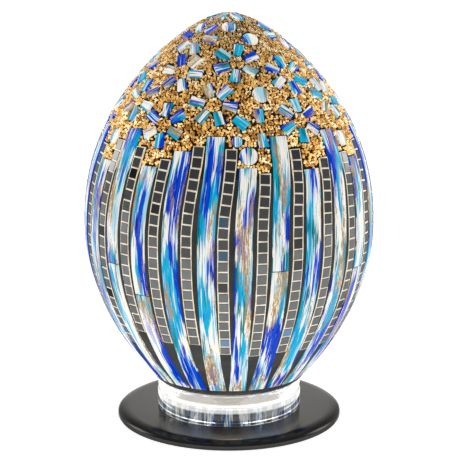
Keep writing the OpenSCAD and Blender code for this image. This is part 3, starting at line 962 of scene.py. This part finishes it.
def beads(bands, flats, mat):
    """Thousands of small rings, tumbled every way, in sectors that keep each mesh light."""
    a, t, rng = bead_places(bands, flats)
    around, tube = 9, 5
    hole, thick = 0.60 * BEAD_R, 0.40 * BEAD_R
    u = 2 * math.pi * np.arange(around) / around
    v = 2 * math.pi * np.arange(tube) / tube
    ring = np.array([((hole + thick * math.cos(w)) * math.cos(x),
                      (hole + thick * math.cos(w)) * math.sin(x),
                      1.25 * thick * math.sin(w)) for x in u for w in v])
    quads = np.array([(i * tube + j, (i + 1) % around * tube + j, (i + 1) % around * tube + (j + 1) % tube,
                       i * tube + (j + 1) % tube) for i in range(around) for j in range(tube)])
    lean = egg_lean(t)
    out = np.stack([np.cos(lean) * np.sin(a), -np.cos(lean) * np.cos(a), np.sin(lean)], 1)
    centres = on_egg(a, t, -0.95 * MM) + out * rng.normal(0, 0.12 * MM, len(a))[:, None]
    axis = out + rng.normal(0, 0.55, out.shape)
    axis /= np.linalg.norm(axis, axis=1)[:, None]
    side = np.cross(axis, rng.normal(0, 1, out.shape))
    side /= np.linalg.norm(side, axis=1)[:, None]
    turn = np.stack([side, np.cross(axis, side), axis], 1)
    size = rng.uniform(0.88, 1.08, len(a))
    verts = np.einsum("vi,bij->bvj", ring, turn) * size[:, None, None] + centres[:, None]
    sector = ((a + math.pi) / (2 * math.pi) * BEAD_SECTORS).astype(int) % BEAD_SECTORS
    for k in range(BEAD_SECTORS):
        chosen = verts[sector == k]
        faces = (quads[None] + len(ring) * np.arange(len(chosen))[:, None, None]).reshape(-1, 4)
        piece = make_object(f"bead_field_{k + 1}", chosen.reshape(-1, 3), faces.tolist(), mat)
        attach(piece, "shade")
        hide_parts("bead_cap")


def grout_skin(mat, bead_mat):
    """Grout between the mosaic pieces, uneven as a hand wipes it, lower where the beads are set."""
    segments, rows = 300, 220
    t = np.linspace(BAND_T, 90, rows)
    rng = random.Random(SEED + 4)
    phases = [rng.uniform(0, 6.28) for _ in range(6)]
    bead_t = float(t_at_z(BEAD_Z - 2 * MM))
    share = np.clip((t - bead_t) / 1.2, 0, 1)
    depth = GROUT_DEPTH + share * (BEAD_BED - GROUT_DEPTH)
    a = 2 * math.pi * np.arange(segments) / segments
    verts = []
    for ti, d in zip(t, depth):
        rough = (np.sin(9 * a + phases[0]) * np.sin(0.3 * ti + phases[1]) +
                 np.sin(31 * a + phases[2] + 0.7 * ti) + np.sin(73 * a + phases[3] - 1.9 * ti)) / 3
        verts.append(on_egg(a, np.full(segments, ti), d + 0.07 * MM * rough))
    for ti in t[::-4]:
        verts.append(on_egg(a, np.full(segments, ti), GLASS_OUT))
    piece = make_object("grout_skin", np.concatenate(verts), closed_loft(len(verts), segments), mat)
    piece.data.materials.append(bead_mat)
    heights = np.array([p.center.z for p in piece.data.polygons])
    piece.data.polygons.foreach_set("material_index", (heights > BEAD_Z - 1.5 * MM).astype(int))
    finish_piece(piece, "shade", "grout", "grout_bed")


def rim_grout(mat):
    """Thick grout edging at the egg's lower end, with a soft, slightly ragged lip."""
    segments = 240
    low = float(s_at_t(T_RIM))
    high = float(s_at_t(BAND_T)) + 0.3 * MM
    outer = np.linspace(low, high, 7)
    rows = []
    a = 2 * math.pi * np.arange(segments) / segments
    ragged = 0.16 * MM * (np.sin(17 * a) + np.sin(41 * a + 1) + np.sin(67 * a + 2)) / 3
    for i, s in enumerate(outer):
        bulge = -0.15 * MM + 0.35 * MM * math.sin(math.pi * i / (len(outer) - 1))
        rows.append(on_egg(a, t_at_s(s + ragged * (i > 0)), bulge + 0.5 * ragged))
    rows.append(on_egg(a, t_at_s(np.full(segments, high)), -1.5 * MM))
    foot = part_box("rim_band")[0].z
    foot_in = 48.3 * MM
    foot_out = EGG_RADIUS * math.cos(math.radians(T_RIM)) ** EGG_TUCK - 0.3 * MM
    for r in (foot_in, foot_out):
        rows.append(np.stack([r * np.sin(a), -r * np.cos(a), np.full(segments, foot)], 1))
    piece = make_object("rim_grout", np.concatenate(rows), closed_loft(len(rows), segments), mat)
    finish_piece(piece, "shade", "grout", "rim_band")


def glass_egg(clear_mat, lining_mat):
    """The blown glass: a clear neck below, and the lit lining of the egg above it."""
    low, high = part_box("shade_glass")
    neck_out = 50.2 * MM
    neck_in = 45.2 * MM
    t_out = float(t_at_z(RIM_Z + 1.5 * MM))
    t_in = float(t_at_z(RIM_Z + 4 * MM))
    foot = on_egg(0, t_out, GLASS_OUT)
    neck_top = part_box("rim_band")[0].z
    ease = 0.5 * MM
    inner_low = on_egg(0, t_in, GLASS_IN)
    neck = [(neck_in + ease, low.z), (neck_out - ease, low.z), (neck_out, low.z + ease),
            (neck_out, neck_top), (-foot[1], neck_top), (-foot[1], foot[2]), (-inner_low[1], inner_low[2]),
            (neck_in, inner_low[2] - 1.5 * MM), (neck_in, low.z + ease)]
    piece = revolve("glass_neck", neck, clear_mat, 256)
    finish_piece(piece, "shade", "clear_glass", "shade_glass")
    curve = [on_egg(0, t, GLASS_OUT - 0.02 * MM) for t in np.linspace(t_out + 0.2, 90, 60)]
    back = [on_egg(0, t, GLASS_IN) for t in np.linspace(90, t_in + 0.2, 60)]
    outline = [(max(-p[1], 0.0) if abs(p[1]) > 1e-6 else 0.0, p[2]) for p in curve + back]
    finish_piece(revolve("glass_lining", outline, lining_mat, 208), "shade", "clear_glass", "shade_glass")


# ---- Base ----

def base_dish(mat):
    """Pressed plate with a straight lip and a round shoulder."""
    low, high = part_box("base_plate")
    lip_r = -low.x
    sheet = 1.4 * MM
    straight = low.z + 1.8 * MM
    width = 9 * MM
    rise = high.z - straight
    steps = 14
    bore = 5.05 * MM
    ease = 0.25 * MM
    outer = [(bore, high.z)] + [(lip_r - width + width * math.sin(a), straight + rise * math.cos(a))
                                for a in np.linspace(0, math.pi / 2, steps)]
    flange_r = lip_r - 7 * MM
    outer += [(lip_r, low.z + ease), (lip_r - ease, low.z), (flange_r, low.z),
              (flange_r, low.z + 1 * MM), (lip_r - sheet, low.z + 1 * MM)]
    outer += [(lip_r - width + (width - sheet) * math.sin(a), straight + (rise - sheet) * math.cos(a))
              for a in np.linspace(math.pi / 2, 0, steps)]
    outer += [(bore, high.z - sheet)]
    piece = revolve("polished_dish", outer, mat, 288)
    notch_low, notch_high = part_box("cord_grommet")
    cut = box_mesh("notch_cutter", notch_low - Vector((0, 2 * MM, 1 * MM)),
                   notch_high + Vector((0, 2 * MM, 0)))
    carve(piece, cut)
    finish_piece(piece, "base", "black_nickel", "base_plate")


def box_mesh(name, low, high):
    x, y, z = zip(low, high)
    verts = [(x[i], y[j], z[k]) for k in (0, 1) for i, j in ((0, 0), (1, 0), (1, 1), (0, 1))]
    faces = [(0, 3, 2, 1), (4, 5, 6, 7), (0, 1, 5, 4), (1, 2, 6, 5), (2, 3, 7, 6), (3, 0, 4, 7)]
    mesh = bpy.data.meshes.new(name)
    mesh.from_pydata(verts, [], faces)
    obj = bpy.data.objects.new(name, mesh)
    bpy.context.scene.collection.objects.link(obj)
    return obj


def carve(piece, cutter):
    """Cuts one closed mesh out of another and removes the cutter."""
    bpy.context.view_layer.update()
    modifier = piece.modifiers.new("cut", "BOOLEAN")
    modifier.object = cutter
    modifier.operation = "DIFFERENCE"
    modifier.solver = "EXACT"
    graph = bpy.context.evaluated_depsgraph_get()
    mesh = bpy.data.meshes.new_from_object(piece.evaluated_get(graph))
    piece.modifiers.clear()
    piece.data = mesh
    bpy.data.objects.remove(cutter)


def collar_ring(mat):
    """Thick clear ring with polished, eased edges, a ledge and an upstand."""
    low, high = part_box("clear_collar")
    r_in, r_out = 41.5 * MM, high.x
    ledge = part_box("shade_glass")[0].z
    lip = 44.8 * MM
    e = 0.5 * MM
    seat = ledge - 0.02 * MM
    outline = [(r_in + e, low.z), (r_out - e, low.z), (r_out, low.z + e), (r_out, ledge - e),
               (r_out - 0.4 * e, ledge - 0.3 * e), (r_out - e, seat), (lip + 0.2 * MM, seat),
               (lip, ledge + 0.2 * MM), (lip, high.z - e), (lip - e, high.z), (r_in + e, high.z),
               (r_in, high.z - e), (r_in, low.z + e)]
    piece = revolve("collar_ring", outline, mat, 288)
    finish_piece(piece, "base", "clear_acrylic", "clear_collar")


def bulb_screw_cap(mat):
    """Nickel screw cap with a real helical thread."""
    low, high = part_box("bulb_cap")
    turns = 5
    rows, around = 90, 48
    verts = []
    for j in range(rows + 1):
        z = low.z + (high.z - low.z) * j / rows
        share = j / rows
        fade = min(1, 6 * share, 6 * (1 - share) if share > 0.8 else 1)
        for i in range(around):
            a = 2 * math.pi * i / around
            wave = 0.5 + 0.5 * math.cos(2 * math.pi * turns * share - a)
            r = high.x - 0.75 * MM * wave * max(fade, 0)
            verts.append((r * math.cos(a), r * math.sin(a), z))
    finish_piece(make_object("screw_cap", verts, loft(rows + 1, around), mat), "bulb", "nickel", "bulb_cap")


def dress_nodes(looks):
    """Gives carried-over CAD nodes their finish and smooth shading."""
    for node, mat in looks.items():
        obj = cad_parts[node]
        obj.data.materials.clear()
        obj.data.materials.append(mat)
        obj.data.polygons.foreach_set("use_smooth", [True] * len(obj.data.polygons))
        obj.data.set_sharp_from_angle(angle=math.radians(32))


# ---- Build ----

camera()
stage()
lights()
studio_world()

streaks = streaky_glass("painted_glass", 0.64)
petal_glass = streaky_glass("petal_glass", 0.66)
grout = grout_material("dark_grout", srgb(52, 52, 50), srgb(92, 92, 88))
bead_grout = grout_material("bead_grout", srgb(34, 26, 16), srgb(74, 56, 34))
clear_glass = clear_material("neck_glass", (0.98, 0.99, 0.98), 0.0, 0.15)
acrylic = collar_material()
nickel = plain_material("bright_nickel", srgb(200, 196, 188), 0.2, 1.0)
steel = plain_material("zinc_steel", srgb(170, 172, 174), 0.35, 1.0, 0.05 * MM)
brass = plain_material("contact_brass", srgb(196, 158, 84), 0.3, 1.0)
grey_plastic = plain_material("lampholder_plastic", srgb(58, 54, 48), 0.42, 0.0, 0.04 * MM)
dish = plain_material("black_nickel", srgb(66, 65, 63), 0.17, 1.0, vary=0.05, edge=0.54)

band_places = glass_strips(streaks)
band_places += mirror_tiles(mirror_material(), glowing_joint())
flat_pieces = flowers(petal_glass)
flat_pieces += discs(petal_glass)
beads(band_places, flat_pieces, bead_material())
grout_skin(grout, bead_grout)
rim_grout(grout)
glass_egg(clear_glass, lining_material())
base_dish(dish)
collar_ring(acrylic)
bulb_screw_cap(nickel)
dress_nodes({
    "felt_pad": plain_material("felt", srgb(60, 60, 62), 0.95, 0.0, 0.3 * MM, 1800.0, 0.25),
    "cord_grommet": plain_material("rubber", srgb(22, 22, 22), 0.6, 0.0, 0.03 * MM),
    "lock_nut": steel, "lock_washer": steel, "threaded_tube": steel, "seat_nut": steel,
    "holder_cap": grey_plastic, "holder_shell": grey_plastic,
    "holder_core": plain_material("porcelain", srgb(226, 222, 212), 0.35, 0.0, 0.02 * MM, vary=0.04),
    "socket_thread": brass, "centre_contact": brass, "terminal_screws": steel,
    "bulb_insulator": plain_material("black_glass", srgb(14, 14, 16), 0.15),
    "bulb_contact": nickel,
    "bulb_glass": clear_material("bulb_glass", (0.99, 0.98, 0.95), 0.0, 0.14),
    "bulb_stem": clear_material("stem_glass", (0.97, 0.97, 0.95), 0.05, 0.2),
    "bulb_filaments": lit_material("filament_glow", srgb(255, 196, 110), 14.0),
})
